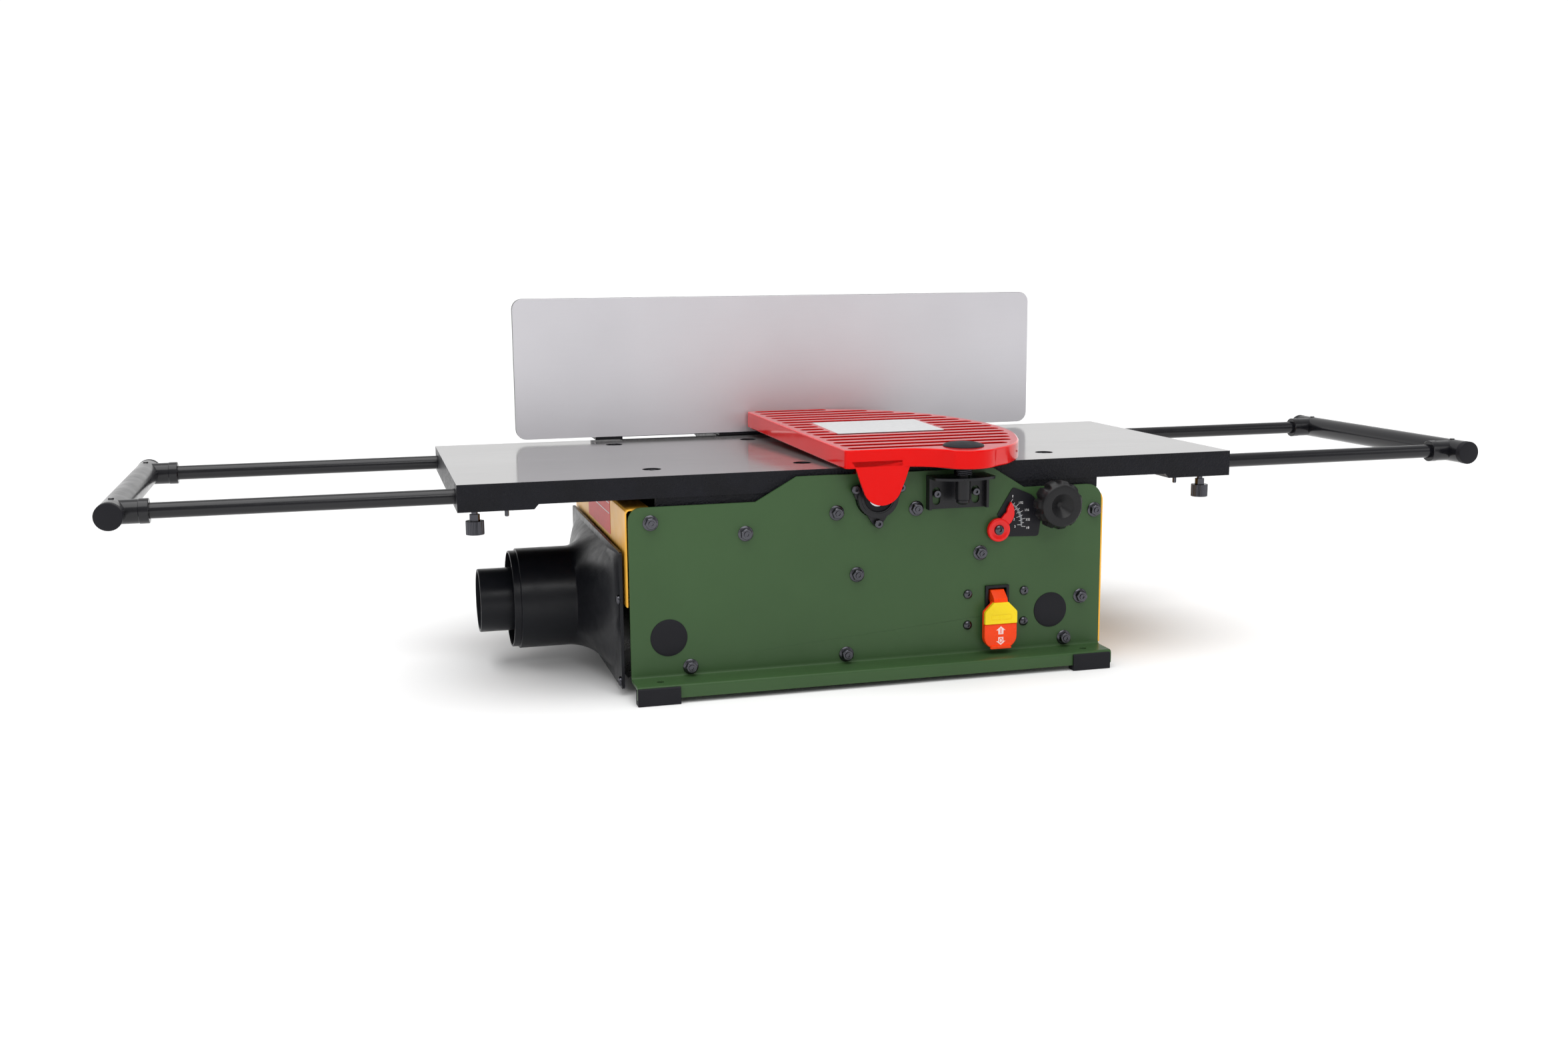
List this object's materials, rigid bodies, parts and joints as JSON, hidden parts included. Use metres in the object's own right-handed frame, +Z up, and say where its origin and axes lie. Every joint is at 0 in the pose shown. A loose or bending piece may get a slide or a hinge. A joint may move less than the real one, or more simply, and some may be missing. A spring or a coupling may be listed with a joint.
{
  "type": "benchtop jointer",
  "caption": "Benchtop jointer: long tables over a helical cutterhead, tilting sliding fence, sprung swing guard, depth knob, pull-out stock supports and a dust outlet.",
  "frame": {"origin": "centre of the bounding box in X and Y, on the floor under the feet", "axes": "+X along the tables towards the infeed end, +Y back towards the fence, +Z up"},
  "size_m": [1.368, 0.53, 0.3616],
  "materials": {
    "green_paint": "semi-gloss green powder coat",
    "gold_paint": "semi-gloss golden yellow paint",
    "table_iron": "ground top, rough black sides and underside",
    "fence_steel": "satin ground face",
    "black_casting": "black paint",
    "guard_red": "glossy red",
    "pointer_red": "red paint",
    "black_plastic": "black, lightly textured",
    "scale_plate": "black with grey and white marks",
    "black_steel": "black oxide and black paint",
    "rubber": "matt black",
    "machined_steel": "machined",
    "motor_aluminium": "die cast",
    "switch_red": "orange-red",
    "switch_yellow": "bright yellow"
  },
  "bodies": {
    "frame_body": {"front_side_plate": "green_paint", "rear_side_plate": "green_paint", "left_end_cover": "gold_paint", "right_end_cover": "gold_paint", "outfeed_table": "table_iron", "dust_hood": "black_plastic", "chip_chute": "black_steel", "front_left_foot": "rubber", "front_right_foot": "rubber", "rear_left_foot": "rubber", "rear_right_foot": "rubber", "left_tie_rod": "black_steel", "right_tie_rod": "black_steel", "left_plug": "rubber", "right_plug": "rubber", "cord_gland": "black_plastic", "front_bearing_flange": "black_steel", "rear_bearing_flange": "black_steel", "front_bearing": "machined_steel", "rear_bearing": "machined_steel", "motor_housing": "motor_aluminium", "drive_belt": "rubber", "belt_cover": "black_plastic", "switch_housing": "black_plastic", "depth_scale_plate": "scale_plate", "guard_bracket": "black_steel", "guard_spring": "black_steel", "fence_base": "black_casting"},
    "infeed": {"infeed_table": "table_iron"},
    "cutter": {"cutterhead": "machined_steel", "cutterhead_pulley": "motor_aluminium"},
    "motor": {"motor_rotor": "machined_steel", "motor_pulley": "motor_aluminium"},
    "inner_lift": {"inner_lift_shaft": "machined_steel", "lift_sector_gear": "machined_steel", "depth_pointer": "pointer_red"},
    "outer_lift": {"outer_lift_shaft": "machined_steel"},
    "lift_bar": {"lift_link": "machined_steel"},
    "depth_drive": {"knob_shaft": "machined_steel", "depth_knob": "black_plastic"},
    "carriage": {"fence_carriage": "black_casting", "fence_hinge_pin": "machined_steel"},
    "fence": {"fence": "fence_steel", "fence_tilt_bracket": "black_casting"},
    "slide_lock": {"fence_slide_lock": "black_plastic"},
    "tilt_lock": {"fence_tilt_lock": "black_plastic"},
    "guard_post": {"guard_post": "black_steel"},
    "guard": {"guard": "guard_red", "guard_cap": "black_plastic"},
    "left_support": {"left_front_rod": "black_steel", "left_rear_rod": "black_steel", "left_cross_bar": "black_steel"},
    "right_support": {"right_front_rod": "black_steel", "right_rear_rod": "black_steel", "right_cross_bar": "black_steel"},
    "left_rod_lock": {"left_rod_lock": "black_steel"},
    "right_rod_lock": {"right_rod_lock": "black_steel"},
    "switch_paddle": {"switch_paddle": "switch_red"},
    "switch_key": {"switch_key": "switch_yellow"},
    "dust_adapter": {"dust_adapter": "black_plastic"}
  },
  "joints": [
    {"name": "infeed_table_drop", "type": "slide", "parent": "frame_body", "child": "infeed", "axis": [0, 0, -1], "range_m": [0, 0.0032]},
    {"name": "inner_lift_turn", "type": "hinge", "parent": "frame_body", "child": "inner_lift", "pos_m": [0.1297, -0.2065, 0.1401], "axis": [0, 1, 0], "range_deg": [0, 66.2]},
    {"name": "outer_lift_turn", "type": "hinge", "parent": "frame_body", "child": "outer_lift", "pos_m": [0.205, -0.2065, 0.1401], "axis": [0, 1, 0], "range_deg": [0, 66.2]},
    {"name": "lift_link_turn", "type": "hinge", "parent": "inner_lift", "child": "lift_bar", "pos_m": [0.1395, -0.1595, 0.125], "axis": [0, 1, 0], "range_deg": [-66.2, 0]},
    {"name": "depth_knob_turn", "type": "hinge", "parent": "frame_body", "child": "depth_drive", "pos_m": [0.185, -0.2065, 0.1645], "axis": [0, 1, 0], "range_deg": [-132.4, 0]},
    {"name": "cutterhead_spin", "type": "hinge", "parent": "frame_body", "child": "cutter", "pos_m": [0.0055, -0.0505, 0.1788], "axis": [0, 1, 0], "continuous": true},
    {"name": "motor_spin", "type": "hinge", "parent": "frame_body", "child": "motor", "pos_m": [0.12, -0.0065, 0.0705], "axis": [0, 1, 0], "continuous": true},
    {"name": "fence_slide", "type": "slide", "parent": "frame_body", "child": "carriage", "axis": [0, -1, 0], "range_m": [0, 0.12]},
    {"name": "fence_slide_lock_turn", "type": "hinge", "parent": "carriage", "child": "slide_lock", "pos_m": [0, 0.249, 0.2265], "axis": [0, 0, 1], "range_deg": [0, 60]},
    {"name": "fence_tilt", "type": "hinge", "parent": "carriage", "child": "fence", "pos_m": [0, 0.1095, 0.2185], "axis": [-1, 0, 0], "range_deg": [0, 45]},
    {"name": "fence_tilt_lock_turn", "type": "hinge", "parent": "carriage", "child": "tilt_lock", "pos_m": [0.08, 0.14294, 0.24861], "axis": [-1, 0, 0], "range_deg": [0, 30]},
    {"name": "guard_carry", "type": "hinge", "parent": "frame_body", "child": "guard_post", "pos_m": [0.085, -0.2315, 0.2065], "axis": [0, 0, 1], "range_deg": [0, 85]},
    {"name": "guard_swing", "type": "hinge", "parent": "guard_post", "child": "guard", "pos_m": [0.085, -0.2315, 0.2065], "axis": [0, 0, 1], "range_deg": [0, 49], "stiffness_Nm_per_rad": 0.35, "springref_deg": -20.05},
    {"name": "left_support_slide", "type": "slide", "parent": "frame_body", "child": "left_support", "axis": [1, 0, 0], "range_m": [0, 0.25]},
    {"name": "right_support_slide", "type": "slide", "parent": "infeed", "child": "right_support", "axis": [-1, 0, 0], "range_m": [0, 0.25]},
    {"name": "left_rod_lock_turn", "type": "hinge", "parent": "frame_body", "child": "left_rod_lock", "pos_m": [-0.368, -0.1785, 0.1665], "axis": [0, 0, -1], "range_deg": [0, 180]},
    {"name": "right_rod_lock_turn", "type": "hinge", "parent": "infeed", "child": "right_rod_lock", "pos_m": [0.368, -0.1785, 0.1665], "axis": [0, 0, -1], "range_deg": [0, 180]},
    {"name": "switch_paddle_lift", "type": "hinge", "parent": "frame_body", "child": "switch_paddle", "pos_m": [0.1299, -0.2095, 0.0775], "axis": [-1, 0, 0], "range_deg": [0, 15]},
    {"name": "switch_key_pull", "type": "slide", "parent": "switch_paddle", "child": "switch_key", "axis": [0, -1, 0], "range_m": [0, 0.02]},
    {"name": "dust_adapter_pull", "type": "slide", "parent": "frame_body", "child": "dust_adapter", "axis": [-1, 0, 0], "range_m": [0, 0.05]}
  ],
  "couplings": [
    {"joint": "inner_lift_turn", "follows": "infeed_table_drop", "rad_per_m": 360},
    {"joint": "outer_lift_turn", "follows": "infeed_table_drop", "rad_per_m": 360},
    {"joint": "lift_link_turn", "follows": "infeed_table_drop", "rad_per_m": -360},
    {"joint": "depth_knob_turn", "follows": "infeed_table_drop", "rad_per_m": -720},
    {"joint": "motor_spin", "follows": "cutterhead_spin", "ratio": 1.5556},
    {"joint": "guard_carry", "follows": "fence_slide", "rad_per_m": 12.3}
  ]
}
